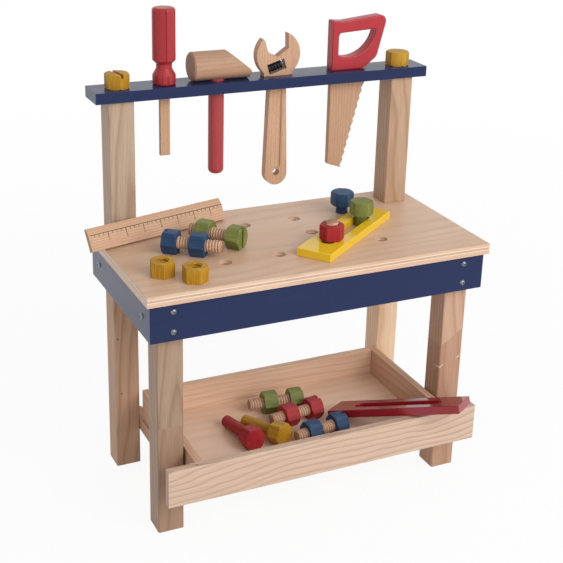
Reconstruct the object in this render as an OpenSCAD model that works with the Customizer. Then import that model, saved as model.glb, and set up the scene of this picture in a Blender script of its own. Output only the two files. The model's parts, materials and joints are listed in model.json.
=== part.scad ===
// Toy workbench: a pine and ply bench with a tray, a tool rail and its loose play pieces.
// Millimetres. X runs left to right, Y front to back, Z up. The origin lies on the floor,
// midway between the four feet.

/* [Bench] */
// Length of the worktop and of the tool rail
top_l = 500; // [480:1:540]
// Width of the worktop, front to back
top_w = 256; // [252:1:290]
// Thickness of the worktop ply
top_t = 15; // [12:0.5:18]
// Height of the legs, floor to the underside of the worktop
leg_h = 341; // [320:1:400]
// Side of the square legs and posts
leg_s = 36; // [33:1:40]
// Radius of the long edges of the legs and posts
leg_edge_r = 2.5; // [1:0.5:4]
// Height of the aprons
apron_h = 52; // [44:1:60]
// Thickness of the aprons
apron_t = 13.5; // [10:0.5:16]
// How far the worktop reaches past the aprons at its ends
end_overhang = 5; // [2:0.5:8]
// How far the worktop reaches past the front and rear aprons
side_overhang = 6; // [2:0.5:8]
// Height of the posts above the worktop
post_h = 193; // [185:1:230]
// Width of the tool rail, front to back
rail_w = 48; // [46:1:56]
// Thickness of the tool rail
rail_t = 15; // [12:0.5:18]

/* [Worktop holes] */
// Diameter of the round holes in the worktop
hole_d = 18; // [18:0.1:19]
// Spacing of the holes along the worktop
hole_pitch_x = 78; // [74:1:80]
// Spacing of the hole rows across the worktop
hole_pitch_y = 59; // [56:1:62]
// How far the middle row of holes lies behind the centre line
hole_shift_y = 2.5; // [0:0.5:5]

/* [Frame screws] */
// Diameter of the dome heads
screw_head_d = 9; // [7:0.5:11]
// Height of the dome heads
screw_head_h = 3; // [2:0.5:4]
// Diameter of the screw shanks
screw_d = 4; // [3:0.5:5]
// Length of the shanks under the head
screw_l = 36; // [30:1:40]
// Width across the flats of the hex socket
socket_af = 3; // [2.5:0.5:4]
// Half the height between the two screws at each end of a long apron
screw_half_gap = 14; // [10:1:18]

/* [Tray] */
// Height of the runners
runner_h = 19; // [14:1:24]
// Width of the runners
runner_w = 14; // [12:1:18]
// Height of the runners' underside above the floor
runner_z = 53; // [30:1:120]
// Gap between each tray side and the legs
tray_side_gap = 3.5; // [1:0.5:4]
// Gap between the closed tray and the rear apron's plane
tray_back_gap = 5; // [2:0.5:10]
// Height of the tray's side and rear boards
tray_h = 47; // [40:1:60]
// Thickness of the tray's boards
tray_t = 11; // [9:0.5:12]
// Thickness of the tray's bottom panel
tray_floor_t = 5; // [4:0.5:6]
// Depth of the grooves that hold the bottom panel
groove_depth = 4; // [2:0.5:5]
// How far the tray's front board reaches below its sides
front_drop = 6.5; // [0:0.5:10]
// How far the ends of the tray's front board lie in from the worktop's ends
front_inset = 17; // [10:1:20]
// How far the tray stands out from its closed place
tray_out = 32.5; // [0:0.5:60]

/* [Hex pieces] */
// Width across the flats of the bolt heads, peg heads and nuts
hex_af = 30; // [28:0.5:31]
// Thickness of the bolt heads
head_h = 20; // [16:0.5:21]
// Thickness of the peg heads
peg_head_h = 20; // [15:0.5:21]
// Thickness of the nuts
nut_h = 21; // [16:0.5:22]
// Diameter of the wooden shafts
shaft_d = 17; // [15:0.1:17.4]
// Length of the shafts
shaft_l = 61; // [57:0.5:62]
// Diameter of the nuts' bores
nut_bore_d = 18; // [17.9:0.1:20]
// Width of the slots in the bolt heads
head_slot_w = 5; // [3:0.5:7]
// Depth of the slots in the bolt heads
head_slot_depth = 5; // [3:0.5:8]
// Chamfer round the ends of the hex pieces
hex_chamfer = 1.5; // [1:0.5:3]
// Chamfer at the shafts' ends
shaft_chamfer = 1.5; // [0.5:0.5:2.5]

/* [Construction strips] */
// Length of the strips
strip_l = 200; // [190:1:204]
// Width of the strips
strip_w = 50; // [46:1:52]
// Thickness of the strips
strip_t = 11.5; // [9:0.5:13]
// Length of the slot, over its round ends
strip_slot_l = 132; // [124:1:140]
// Width of the slot
strip_slot_w = 20; // [19:0.1:21]

/* [Ruler] */
// Length of the ruler
ruler_l = 220; // [180:1:222]
// Width of the ruler
ruler_w = 32; // [29:1:36]
// Thickness of the ruler
ruler_t = 7; // [6:0.5:8]
// Width of the bevel along the ruler's upper edge
ruler_bevel_w = 9; // [5:1:12]
// Thickness left at the ruler's bevelled edge
ruler_edge_t = 4; // [2:0.5:5]

/* [Screwdriver] */
// Length of the handle
driver_l = 103; // [90:1:120]
// Diameter of the handle and of its collar
driver_d = 31.5; // [28:0.5:34]
// Diameter of the waist above the collar
driver_waist_d = 21.5; // [18:0.5:25]
// Height of the collar that stands on the rail
driver_collar_h = 13; // [10:1:16]
// Number of flutes round the handle
driver_flutes = 6; // [4:1:8]
// Depth of the flutes
driver_flute_depth = 1.6; // [0.5:0.1:2]
// Number of grooves round the collar
driver_collar_grooves = 12; // [8:1:16]
// Width of the wooden blade
driver_blade_w = 14; // [10:0.5:15]
// Thickness of the wooden blade
driver_blade_t = 6.5; // [4:0.5:8]
// How far the blade reaches below the handle
driver_blade_l = 100; // [80:1:120]

/* [Hammer] */
// Diameter of the head
hammer_d = 40; // [34:0.5:44]
// Length of the head
hammer_l = 83.5; // [76:0.5:88]
// Diameter of the handle
hammer_handle_d = 22; // [18:0.5:23]
// How far the handle reaches below the head
hammer_handle_l = 134.5; // [110:0.5:150]

/* [Wrench] */
// Thickness of the wrench
wrench_t = 12.5; // [11:0.5:16]
// Radius of the round head
wrench_head_r = 33; // [31:0.5:34]
// Width of the shoulders that rest on the rail
wrench_shoulder_w = 44; // [42:0.5:46]
// Width of the neck
wrench_neck_w = 25.5; // [22:0.5:28]
// Width of the handle at its lower end
wrench_handle_w = 34; // [30:0.5:35]
// How far the handle reaches below the head's shoulders
wrench_handle_l = 161; // [140:1:175]
// Width of the channel down both faces of the handle
wrench_channel_w = 12.5; // [8:0.5:14]
// Depth of the channel
wrench_channel_depth = 1.8; // [0.5:0.1:2.5]
// Diameter of the hanging hole
wrench_hole_d = 10; // [6:0.5:11]
// Diameter of the worm
worm_d = 13; // [11:0.5:13.5]
// Length of the worm
worm_l = 22; // [18:0.5:23]
// Diameter of the worm's pin
worm_pin_d = 4; // [3:0.5:5]

/* [Saw] */
// Thickness of the handle
saw_handle_t = 18; // [16:0.5:22]
// Thickness of the wooden blade
saw_blade_t = 9; // [6:0.5:10]
// How far the blade reaches below the handle
saw_blade_l = 147; // [120:1:150]
// Width of the blade where it leaves the handle
saw_blade_w = 57; // [50:0.5:58]
// Width of the blade at its lower end
saw_tip_w = 22; // [15:0.5:30]
// Number of saw teeth
saw_teeth = 11; // [8:1:14]
// Depth of the saw teeth
saw_tooth_depth = 2.2; // [1:0.2:4]

/* [Hidden] */
$fn = 48;

// Colours of the finishes
navy = "#26325a";
pine = "#c8a488";
ply = "#c8a890";
beech = "#bf9b82";
red = "#a83a3e";
yellow = "#c8922a";
strip_yellow = "#e8c42a";
green = "#7b8240";
blue = "#2c4a68";
black = "#1c1c1e";
steel = "#b8b8bc";

// Frame
frame_l = top_l - 2 * end_overhang;
frame_w = top_w - 2 * side_overhang;
leg_out_x = frame_l / 2 - apron_t;
leg_out_y = frame_w / 2 - apron_t;
leg_in_x = leg_out_x - leg_s;
leg_x = leg_out_x - leg_s / 2;
leg_y = leg_out_y - leg_s / 2;
top_z = leg_h + top_t;
rail_z = top_z + post_h;
rail_top = rail_z + rail_t;
rail_y = leg_y;
post_bore_depth = shaft_l - rail_t + 5;
screw_z = leg_h - apron_h / 2;

// Worktop holes: the column numbers are halves of the spacing, the row numbers whole spacings
hole_columns = [[-3, -1, 1, 3], [1, 3], [-3, -1, 1, 3]];
function hole_at(column, row) = [column * hole_pitch_x / 2, row * hole_pitch_y + hole_shift_y];

// Tray
tray_z = runner_z + runner_h;
tray_top = tray_z + tray_h;
tray_floor = tray_z + tray_floor_t;
tray_out_x = leg_in_x - tray_side_gap;
tray_in_x = tray_out_x - tray_t;
tray_front_y = -leg_out_y - tray_out;
tray_depth = 2 * leg_out_y - tray_back_gap;
tray_back_y = tray_front_y + tray_depth;
tray_front_l = top_l - 2 * front_inset;

// Hex pieces
hex_corner_r = 0.985 * hex_af / sqrt(3);
hex_end_r = hex_corner_r - hex_chamfer;
hex_flat_chamfer = max(0, hex_af / 2 - hex_end_r);
gap = 0.3;

// A peg that lies on its head's inner edge and its shaft's end
peg_tilt = atan((hex_af - shaft_d) / 2 / (shaft_l - shaft_chamfer + hex_flat_chamfer));

// Places of the loose pieces on the worktop: from its left end and its front edge to the middle
// of a standing nut or of a bolt head's outer face, then the direction of the shaft in degrees
function on_top(at) = [at[0] - top_l / 2, at[1] - top_w / 2, at[2]];
yellow_nut_left_at = on_top([42, 61, -102]);
yellow_nut_right_at = on_top([74.5, 29.5, -90]);
bench_blue_at = on_top([71, 137, -37.5]);
bench_green_at = on_top([172.5, 106.5, 130.2]);

// Places in the tray: from its right and front boards' inner faces, then the direction
function in_tray(at) = [tray_in_x - at[0], tray_front_y + at[1], at[2]];
tray_green_at = in_tray([148, 147.2, 173]);
tray_red_at = in_tray([135.5, 114.5, 187]);
tray_blue_at = in_tray([122.5, 61, 188.5]);
tray_red_peg_at = in_tray([260.5, 59, 98.3]);
tray_yellow_peg_at = in_tray([217.5, 55, 112]);

// How far the nuts stand from the inner faces of their bolts' heads
bench_blue_nut_gap = 18;
bench_green_nut_gap = 27;
tray_green_nut_gap = 19;
tray_red_nut_gap = 21;
tray_blue_nut_gap = 24;

// Red bolt through the worktop and the yellow strip, its nut turning just clear of the strip
nut_play = 0.1;
red_bolt_hole = hole_at(1, -1);
green_peg_hole = hole_at(3, 0);
blue_peg_hole = hole_at(3, 1);
strip_top = top_z + strip_t;
red_nut_z = strip_top + nut_play;
red_bolt_under_gap = 9;
red_bolt_z = leg_h - red_bolt_under_gap;
green_peg_stand = 5.5;
blue_peg_stand = 12;

// Yellow strip: its line runs over the holes of the red bolt and the green peg
strip_run = green_peg_hole - red_bolt_hole;
strip_angle = atan2(strip_run[1], strip_run[0]);
strip_mid = (red_bolt_hole + green_peg_hole) / 2;
strip_slide = -3.6;

// Red strip: its low corner stands on the tray floor, its rear long edge rests on the right
// board at side_rest and its front long edge crosses the front board at front_rest
low_corner_in = 93.3;
low_corner_back = 118.3;
side_rest_back = 10;
low_corner = [tray_in_x - low_corner_in, tray_front_y + low_corner_back, tray_floor];
side_rest = [tray_in_x, tray_front_y + side_rest_back, tray_top];
lean_along = (side_rest - low_corner) / norm(side_rest - low_corner);
front_rest = low_corner + front_rest_from(low_corner, lean_along, strip_w);
lean_across = unit(front_rest - low_corner
                   - ((front_rest - low_corner) * lean_along) * lean_along);
lean_up = cross(lean_across, lean_along);

function unit(v) = v / norm(v);

// Step from the corner to the point of the front board's upper inner edge that lies w away from
// the line through the corner along d: the smaller root of a quadratic in X
function front_rest_from(corner, d, w) =
    let (fixed = [0, tray_front_y - corner[1], tray_top - corner[2]],
         a = 1 - d[0] * d[0],
         b = -2 * (fixed * d) * d[0],
         c = fixed * fixed - pow(fixed * d, 2) - w * w)
    fixed + [(-b - sqrt(b * b - 4 * a * c)) / (2 * a), 0, 0];

// Ruler: it stands on the worktop, its top edge leaning on the left post's round inner edge
ruler_turn = 14.6;
ruler_lean = 27;
ruler_left_part = 82.5;
ruler_round_gap = leg_edge_r * (sin(ruler_turn) + cos(ruler_turn) - 1);

// Tools in the rail
rail_play = 3;
rail_slot_r = 3;
driver_x = -147.5;
driver_hole_d = driver_blade_w + rail_play;
driver_socket = driver_l / 4;
driver_waist_z = driver_collar_h + 9;
driver_neck_z = driver_waist_z + 6;
driver_shoulder_z = driver_neck_z + 5;
driver_top_r = 4;
driver_flute_turn = 18.5;
flute_r = 2.2;
collar_groove_r = 1.2;
collar_groove_depth = 0.8;
hammer_x = -72;
hammer_hole_d = hammer_handle_d + rail_play;
hammer_left = 38;
hammer_bevel_l = 32.5;
hammer_nose_h = 13;
hammer_socket = 30;
wrench_x = 19;
wrench_slot_w = wrench_t + rail_play;
wrench_slot_l = wrench_handle_w + rail_play;
wrench_head_z = 29;
wrench_end_r = wrench_handle_w / 2;
wrench_end_z = wrench_end_r - wrench_handle_l;
wrench_hole_z = wrench_end_z + 2;
wrench_channel_z = wrench_hole_z + (wrench_hole_d + wrench_channel_w) / 2 + 1;
window_l = worm_l + 5;
window_h = worm_d + 1.6;
window_mid = [-2.4, 12.5];
window_angle = 17.3;
pin_grip = 5;
saw_x = 131;
saw_slot_l = saw_blade_w + rail_play;
saw_slot_w = saw_blade_t + rail_play;
saw_left = -29;
saw_blade_left = -28;
saw_heel_drop = 22;
saw_end_slope = 7.5;
saw_tang_h = 14;
saw_tang_l = 42;
seat_gap = 0.05;

function arc(centre, r, from, to, steps) =
    [for (i = [0:steps]) centre + r * [cos(from + (to - from) * i / steps),
                                       sin(from + (to - from) * i / steps)]];

// ---- bench frame ----

module square_bar(x, y, z, h)
    translate([x, y, z])
        linear_extrude(h)
            rounded_square(leg_s, leg_s, leg_edge_r);

// A rectangle with round corners, its middle at the origin
module rounded_square(l, w, r) {
    square([l - 2 * r, w], center = true);
    square([l, w - 2 * r], center = true);
    for (sx = [-1, 1], sy = [-1, 1])
        translate([sx * (l / 2 - r), sy * (w / 2 - r)])
            circle(r = r);
}

// Shank holes of all frame screws
module screw_holes()
    screw_places()
        translate([0, 0, -screw_l])
            cylinder(d = screw_d, h = screw_l);

// Puts its child at each screw, with the child's +Z out of the apron
module screw_places() {
    for (sx = [-1, 1], sy = [-1, 1], sz = [-1, 1])
        translate([sx * leg_x, sy * frame_w / 2, screw_z + sz * screw_half_gap])
            rotate([-90 * sy, 0, 0])
                children();
    for (sx = [-1, 1], sy = [-1, 1])
        translate([sx * frame_l / 2, sy * leg_y, screw_z])
            rotate([0, 90 * sx, 0])
                children();
}

module leg(sx, sy)
    color(pine)
        difference() {
            square_bar(sx * leg_x, sy * leg_y, 0, leg_h);
            screw_holes();
        }

module leg_front_left() leg(-1, -1);
module leg_front_right() leg(1, -1);
module leg_rear_left() leg(-1, 1);
module leg_rear_right() leg(1, 1);

// A post, bored at its top for the peg or bolt that pins the rail
module post(sx)
    color(pine)
        difference() {
            square_bar(sx * leg_x, leg_y, top_z, post_h);
            translate([sx * leg_x, leg_y, rail_z - post_bore_depth])
                cylinder(d = hole_d, h = post_bore_depth + 1);
        }

module post_left() post(-1);
module post_right() post(1);

module long_apron(sy)
    color(navy)
        difference() {
            translate([-frame_l / 2, sy * (frame_w - apron_t) / 2 - apron_t / 2, leg_h - apron_h])
                cube([frame_l, apron_t, apron_h]);
            screw_holes();
        }

module apron_front() long_apron(-1);
module apron_rear() long_apron(1);

module short_apron(sx)
    color(navy)
        difference() {
            translate([sx * (frame_l - apron_t) / 2 - apron_t / 2, -leg_out_y, leg_h - apron_h])
                cube([apron_t, 2 * leg_out_y, apron_h]);
            screw_holes();
        }

module apron_left() short_apron(-1);
module apron_right() short_apron(1);

module worktop()
    color(ply)
        difference() {
            translate([-top_l / 2, -top_w / 2, leg_h])
                cube([top_l, top_w, top_t]);
            for (row = [0:2], column = hole_columns[row])
                translate(concat(hole_at(column, row - 1), leg_h - 1))
                    cylinder(d = hole_d, h = top_t + 2);
        }

module tool_rail()
    color(navy)
        difference() {
            translate([-top_l / 2, rail_y - rail_w / 2, rail_z])
                cube([top_l, rail_w, rail_t]);
            for (sx = [-1, 1])
                rail_hole(sx * leg_x, hole_d);
            rail_hole(driver_x, driver_hole_d);
            rail_hole(hammer_x, hammer_hole_d);
            rail_slot(wrench_x, wrench_slot_l, wrench_slot_w);
            rail_slot(saw_x, saw_slot_l, saw_slot_w);
        }

module rail_hole(x, d)
    translate([x, rail_y, rail_z - 1])
        cylinder(d = d, h = rail_t + 2);

module rail_slot(x, l, w)
    translate([x, rail_y, rail_z - 1])
        linear_extrude(rail_t + 2)
            rounded_square(l, w, rail_slot_r);

module tray_runner(sx)
    color(pine)
        translate([sx * (leg_in_x - runner_w / 2) - runner_w / 2, -leg_out_y, runner_z])
            cube([runner_w, 2 * leg_out_y, runner_h]);

module tray_runner_left() tray_runner(-1);
module tray_runner_right() tray_runner(1);

// Dome head with a hex socket, and its shank
module frame_screw() {
    dome_r = (pow(screw_head_d / 2, 2) + pow(screw_head_h, 2)) / (2 * screw_head_h);
    difference() {
        intersection() {
            cylinder(d = screw_head_d, h = screw_head_h);
            translate([0, 0, screw_head_h - dome_r])
                sphere(r = dome_r);
        }
        translate([0, 0, screw_head_h / 3])
            cylinder(d = socket_af * 2 / sqrt(3), h = screw_head_h, $fn = 6);
    }
    translate([0, 0, -screw_l])
        cylinder(d = screw_d, h = screw_l);
}

module frame_screws()
    color(steel)
        screw_places() frame_screw();

// ---- tray ----

module floor_panel(grow)
    translate([-tray_in_x - grow, tray_front_y - grow, tray_z])
        cube([2 * (tray_in_x + grow), tray_depth - tray_t + 2 * grow, tray_floor_t]);

module tray_board(x, y, z, size)
    color(ply)
        difference() {
            translate([x, y, z]) cube(size);
            floor_panel(groove_depth);
        }

module tray_front()
    tray_board(-tray_front_l / 2, tray_front_y - tray_t, tray_z - front_drop,
               [tray_front_l, tray_t, tray_h + front_drop]);

module tray_rear()
    tray_board(-tray_in_x, tray_back_y - tray_t, tray_z, [2 * tray_in_x, tray_t, tray_h]);

module tray_left()
    tray_board(-tray_out_x, tray_front_y, tray_z, [tray_t, tray_depth, tray_h]);

module tray_right()
    tray_board(tray_in_x, tray_front_y, tray_z, [tray_t, tray_depth, tray_h]);

module tray_bottom()
    color(ply)
        floor_panel(groove_depth);

// ---- hex pieces, made along +Z with the head's outer face at the origin ----

module hex_block(h)
    intersection() {
        rotate([0, 0, 30])
            cylinder(d = hex_af * 2 / sqrt(3), h = h, $fn = 6);
        rotate_extrude()
            polygon([[0, 0], [hex_end_r, 0], [hex_corner_r, hex_chamfer],
                     [hex_corner_r, h - hex_chamfer], [hex_end_r, h], [0, h]]);
    }

module shaft(from, l)
    translate([0, 0, from])
        rotate_extrude()
            polygon([[0, 0], [shaft_d / 2, 0], [shaft_d / 2, l - shaft_chamfer],
                     [shaft_d / 2 - shaft_chamfer, l], [0, l]]);

module slotted_head(slot_turn = 0)
    difference() {
        hex_block(head_h);
        rotate([0, 0, slot_turn])
            translate([-hex_af, -head_slot_w / 2, -1])
                cube([2 * hex_af, head_slot_w, head_slot_depth + 1]);
    }

module bolt_shaft() shaft(head_h, shaft_l);

module peg()
    union() {
        hex_block(peg_head_h);
        shaft(peg_head_h - 1, shaft_l + 1);
    }

module nut()
    difference() {
        hex_block(nut_h);
        translate([0, 0, -1])
            cylinder(d = nut_bore_d, h = nut_h + 2);
    }

module nut_on_bolt(nut_gap)
    translate([0, 0, head_h + nut_gap])
        nut();

// Lays a bolt on a surface, resting on the flats of its head
module lying(at, surface)
    translate([at[0], at[1], surface + hex_af / 2])
        rotate([0, 90, at[2]])
            children();

// Lays a peg on a surface, resting on its head's inner edge and its shaft's end
module lying_peg(at, surface)
    translate([at[0], at[1], surface + hex_af / 2 * cos(peg_tilt)
                             + (peg_head_h - hex_flat_chamfer) * sin(peg_tilt)])
        rotate([0, 90 + peg_tilt, at[2]])
            children();

// Stands a bolt or peg head-up with its head's inner face at height z
module head_up(x, y, z, head)
    translate([x, y, z + head])
        rotate([180, 0, 0])
            children();

module rail_bolt_head()
    color(yellow) head_up(-leg_x, rail_y, rail_top, head_h) slotted_head(80);
module rail_bolt_shaft()
    color(beech) head_up(-leg_x, rail_y, rail_top, head_h) bolt_shaft();
module rail_peg()
    color(yellow) head_up(leg_x, rail_y, rail_top, peg_head_h) peg();

module standing_nut(at)
    color(yellow)
        translate([at[0], at[1], top_z])
            rotate([0, 0, at[2] + 30])
                nut();

module yellow_nut_left() standing_nut(yellow_nut_left_at);
module yellow_nut_right() standing_nut(yellow_nut_right_at);

module red_bolt_place()
    translate([red_bolt_hole[0], red_bolt_hole[1], red_bolt_z - head_h])
        children();

module red_bolt_head() color(red) red_bolt_place() slotted_head();
module red_bolt_shaft() color(beech) red_bolt_place() bolt_shaft();
module red_nut()
    color(red)
        translate([red_bolt_hole[0], red_bolt_hole[1], red_nut_z])
            rotate([0, 0, 12])
                nut();

module green_peg()
    color(green)
        head_up(green_peg_hole[0], green_peg_hole[1], strip_top + green_peg_stand, peg_head_h)
            peg();
module blue_peg()
    color(blue)
        head_up(blue_peg_hole[0], blue_peg_hole[1], top_z + blue_peg_stand, peg_head_h)
            peg();

module bench_blue_head() color(blue) lying(bench_blue_at, top_z) slotted_head();
module bench_blue_shaft() color(beech) lying(bench_blue_at, top_z) bolt_shaft();
module bench_blue_nut() color(blue) lying(bench_blue_at, top_z) nut_on_bolt(bench_blue_nut_gap);
module bench_green_head() color(green) lying(bench_green_at, top_z) slotted_head();
module bench_green_shaft() color(beech) lying(bench_green_at, top_z) bolt_shaft();
module bench_green_nut()
    color(green) lying(bench_green_at, top_z) nut_on_bolt(bench_green_nut_gap);

module tray_green_head() color(green) lying(tray_green_at, tray_floor) slotted_head();
module tray_green_shaft() color(beech) lying(tray_green_at, tray_floor) bolt_shaft();
module tray_green_nut()
    color(green) lying(tray_green_at, tray_floor) nut_on_bolt(tray_green_nut_gap);
module tray_red_head() color(red) lying(tray_red_at, tray_floor) slotted_head();
module tray_red_shaft() color(beech) lying(tray_red_at, tray_floor) bolt_shaft();
module tray_red_nut() color(red) lying(tray_red_at, tray_floor) nut_on_bolt(tray_red_nut_gap);
module tray_blue_head() color(blue) lying(tray_blue_at, tray_floor) slotted_head();
module tray_blue_shaft() color(beech) lying(tray_blue_at, tray_floor) bolt_shaft();
module tray_blue_nut()
    color(blue) lying(tray_blue_at, tray_floor) nut_on_bolt(tray_blue_nut_gap);
module tray_red_peg() color(red) lying_peg(tray_red_peg_at, tray_floor) peg();
module tray_yellow_peg() color(yellow) lying_peg(tray_yellow_peg_at, tray_floor) peg();

// ---- construction strips and ruler ----

// A strip lying on z = 0, its middle at the origin and its length along X
module strip()
    difference() {
        translate([-strip_l / 2, -strip_w / 2, 0])
            cube([strip_l, strip_w, strip_t]);
        translate([0, 0, -1])
            linear_extrude(strip_t + 2) {
                square([strip_slot_l - strip_slot_w, strip_slot_w], center = true);
                for (side = [-1, 1])
                    translate([side * (strip_slot_l - strip_slot_w) / 2, 0])
                        circle(d = strip_slot_w);
            }
    }

module yellow_strip()
    color(strip_yellow)
        translate([strip_mid[0], strip_mid[1], top_z])
            rotate([0, 0, strip_angle])
                translate([strip_slide, 0, 0])
                    strip();

module tray_red_strip()
    color(red)
        multmatrix([for (i = [0:2])
                    [lean_along[i], -lean_across[i], lean_up[i], low_corner[i]]])
            translate([strip_l / 2, -strip_w / 2, 0])
                strip();

module ruler()
    color(beech)
        translate([-leg_in_x, leg_y - leg_s / 2, top_z])
            rotate([0, 0, ruler_turn])
                translate([-ruler_left_part,
                           ruler_round_gap - seat_gap - ruler_w * sin(ruler_lean), 0])
                    rotate([90 - ruler_lean, 0, 0])
                        rotate([90, 0, 90])
                            linear_extrude(ruler_l)
                                ruler_section();

// The ruler's section: its back on the X axis, its lower edge at the origin
module ruler_section()
    polygon([[0, 0], [ruler_w, 0], [ruler_w, ruler_edge_t],
             [ruler_w - ruler_bevel_w, ruler_t], [0, ruler_t]]);

// ---- screwdriver ----

module screwdriver_handle()
    color(red)
        driver_place()
            difference() {
                rotate_extrude() driver_profile();
                driver_grooves(driver_flutes, driver_flute_turn, flute_r, driver_flute_depth,
                               driver_shoulder_z, driver_l + 1);
                driver_grooves(driver_collar_grooves, 0, collar_groove_r, collar_groove_depth,
                               -1, driver_collar_h + 1);
                translate([-driver_blade_w / 2, -driver_blade_t / 2, -1])
                    cube([driver_blade_w, driver_blade_t, driver_socket + 1]);
            }

module driver_place()
    translate([driver_x, rail_y, rail_top + seat_gap])
        children();

// Half section: collar, waist, shoulder and round top
module driver_profile() {
    r = driver_d / 2;
    waist_r = driver_waist_d / 2;
    polygon(concat(
        [[0, 0], [r - 1.5, 0], [r, 1.5], [r, driver_collar_h]],
        [[waist_r + 1.5, driver_waist_z - 3], [waist_r, driver_waist_z],
         [waist_r, driver_neck_z], [r, driver_shoulder_z]],
        arc([r - driver_top_r, driver_l - driver_top_r], driver_top_r, 0, 90, 6),
        [[0, driver_l]]));
}

// Evenly spaced round grooves of a radius and depth, between two heights
module driver_grooves(count, turn, groove_r, depth, from, to)
    for (i = [0:count - 1])
        rotate([0, 0, turn + i * 360 / count])
            translate([driver_d / 2 + groove_r - depth, 0, from])
                cylinder(r = groove_r, h = to - from);

module screwdriver_blade()
    color(beech)
        driver_place()
            translate([-driver_blade_w / 2, -driver_blade_t / 2, -driver_blade_l])
                cube([driver_blade_w, driver_blade_t, driver_blade_l + driver_socket]);

// ---- hammer, its axis over the rail ----

module hammer_head() {
    edge = 2;
    nose_x = hammer_l - hammer_left;
    color(beech)
        translate([hammer_x, rail_y, rail_top + hammer_d / 2 + gap])
            difference() {
                translate([-hammer_left, 0, 0])
                    rotate([0, 90, 0])
                        rotate_extrude()
                            polygon([[0, 0], [hammer_d / 2 - edge, 0], [hammer_d / 2, edge],
                                     [hammer_d / 2, hammer_l], [0, hammer_l]]);
                translate([0, hammer_d, 0])
                    rotate([90, 0, 0])
                        linear_extrude(2 * hammer_d)
                            polygon([[nose_x - hammer_bevel_l, hammer_d / 2],
                                     [nose_x, hammer_nose_h - hammer_d / 2],
                                     [nose_x + 1, hammer_nose_h - hammer_d / 2],
                                     [nose_x + 1, hammer_d / 2 + 1],
                                     [nose_x - hammer_bevel_l, hammer_d / 2 + 1]]);
                translate([0, 0, -hammer_d])
                    cylinder(d = hammer_handle_d, h = hammer_d / 2 + hammer_socket);
            }
}

module hammer_handle() {
    round_r = 7;
    r = hammer_handle_d / 2;
    color(red)
        translate([hammer_x, rail_y, rail_top + gap - hammer_handle_l])
            rotate_extrude()
                polygon(concat([[0, 0]], arc([r - round_r, round_r], round_r, -90, 0, 6),
                               [[r, hammer_handle_l + hammer_socket - hammer_d / 2],
                                [0, hammer_handle_l + hammer_socket - hammer_d / 2]]));
}

// ---- tools cut from a board: drawn in X and Z, made to stand in the rail's middle plane ----

module upright(x, t)
    translate([x, rail_y + t / 2, rail_top + seat_gap])
        rotate([90, 0, 0])
            linear_extrude(t)
                children();

module wrench_outline()
    difference() {
        union() {
            translate([0, wrench_head_z]) circle(r = wrench_head_r);
            translate([-wrench_shoulder_w / 2, 0]) square([wrench_shoulder_w, wrench_head_z / 2]);
            polygon([[-wrench_neck_w / 2, 1], [-wrench_neck_w / 2, -rail_t],
                     [-wrench_end_r, wrench_end_z], [wrench_end_r, wrench_end_z],
                     [wrench_neck_w / 2, -rail_t], [wrench_neck_w / 2, 1]]);
            translate([0, wrench_end_z]) circle(r = wrench_end_r);
        }
        jaw_opening();
        translate(window_mid)
            rotate(window_angle)
                square([window_l, window_h], center = true);
        translate([0, wrench_hole_z]) circle(d = wrench_hole_d);
    }

// The mouth between the jaws, which blunts the left jaw's tip
module jaw_opening()
    polygon([[-30, 70], [-24.5, 53.5], [-20.5, 49], [-18.6, 41], [-16, 34], [-10, 29.6],
             [-1, 26.5], [15.3, 37.8], [14.6, 57.6], [14.6, 70]]);

// The channel that is sunk in the handle's faces, round at its lower end
module wrench_channel_outline() {
    translate([-wrench_channel_w / 2, wrench_channel_z])
        square([wrench_channel_w, -wrench_channel_z - rail_t / 2]);
    translate([0, wrench_channel_z])
        circle(d = wrench_channel_w);
}

// Puts its child along the worm's axis, with +Z along the axis from the window's left end
module along_worm()
    translate([wrench_x + window_mid[0], rail_y, rail_top + seat_gap + window_mid[1]])
        rotate([0, 90 - window_angle, 0])
            translate([0, 0, -window_l / 2])
                children();

module wrench_body()
    color(beech)
        difference() {
            upright(wrench_x, wrench_t) wrench_outline();
            along_worm()
                translate([0, 0, -pin_grip])
                    cylinder(d = worm_pin_d, h = window_l + 2 * pin_grip);
            for (side = [-1, 1])
                translate([0, side * (wrench_t - wrench_channel_depth), 0])
                    upright(wrench_x, wrench_t) wrench_channel_outline();
        }

// A worm with round grooves, bored for its pin
module wrench_worm() {
    rings = 5;
    pitch = worm_l / rings;
    ridge = 1.5;
    color(black)
        along_worm()
            translate([0, 0, gap])
                rotate_extrude()
                    polygon(concat(
                        [[worm_pin_d / 2 + gap / 2, 0]],
                        [for (i = [0:rings - 1], step = [0, 1, 2])
                            [worm_d / 2 - (step == 1 ? 0 : ridge),
                             (i + [0.1, 0.5, 0.9][step]) * pitch]],
                        [[worm_d / 2 - ridge, worm_l], [worm_pin_d / 2 + gap / 2, worm_l]]));
}

module wrench_pin()
    color(steel)
        along_worm()
            translate([0, 0, -pin_grip])
                cylinder(d = worm_pin_d, h = window_l + 2 * pin_grip);

// ---- saw ----

// A closed grip: flat foot, blunt lower corner, and a back that leans out to the upper corner
module saw_grip_outline()
    difference() {
        polygon(concat(
            [[saw_left, 0]],
            arc([16, 17], 17, -90, -52, 5),
            arc([32.5, 23.6], 12, -52, -14.5, 4),
            arc([47, 67], 9, -14.5, 95, 7),
            [[-11, 70], [saw_left, 71.5]]));
        polygon(concat(
            [[-19, 50]],
            arc([-3.5, 63], 44.3, -110.5, -8, 18),
            [[-17, 53.5]]));
    }

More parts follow.
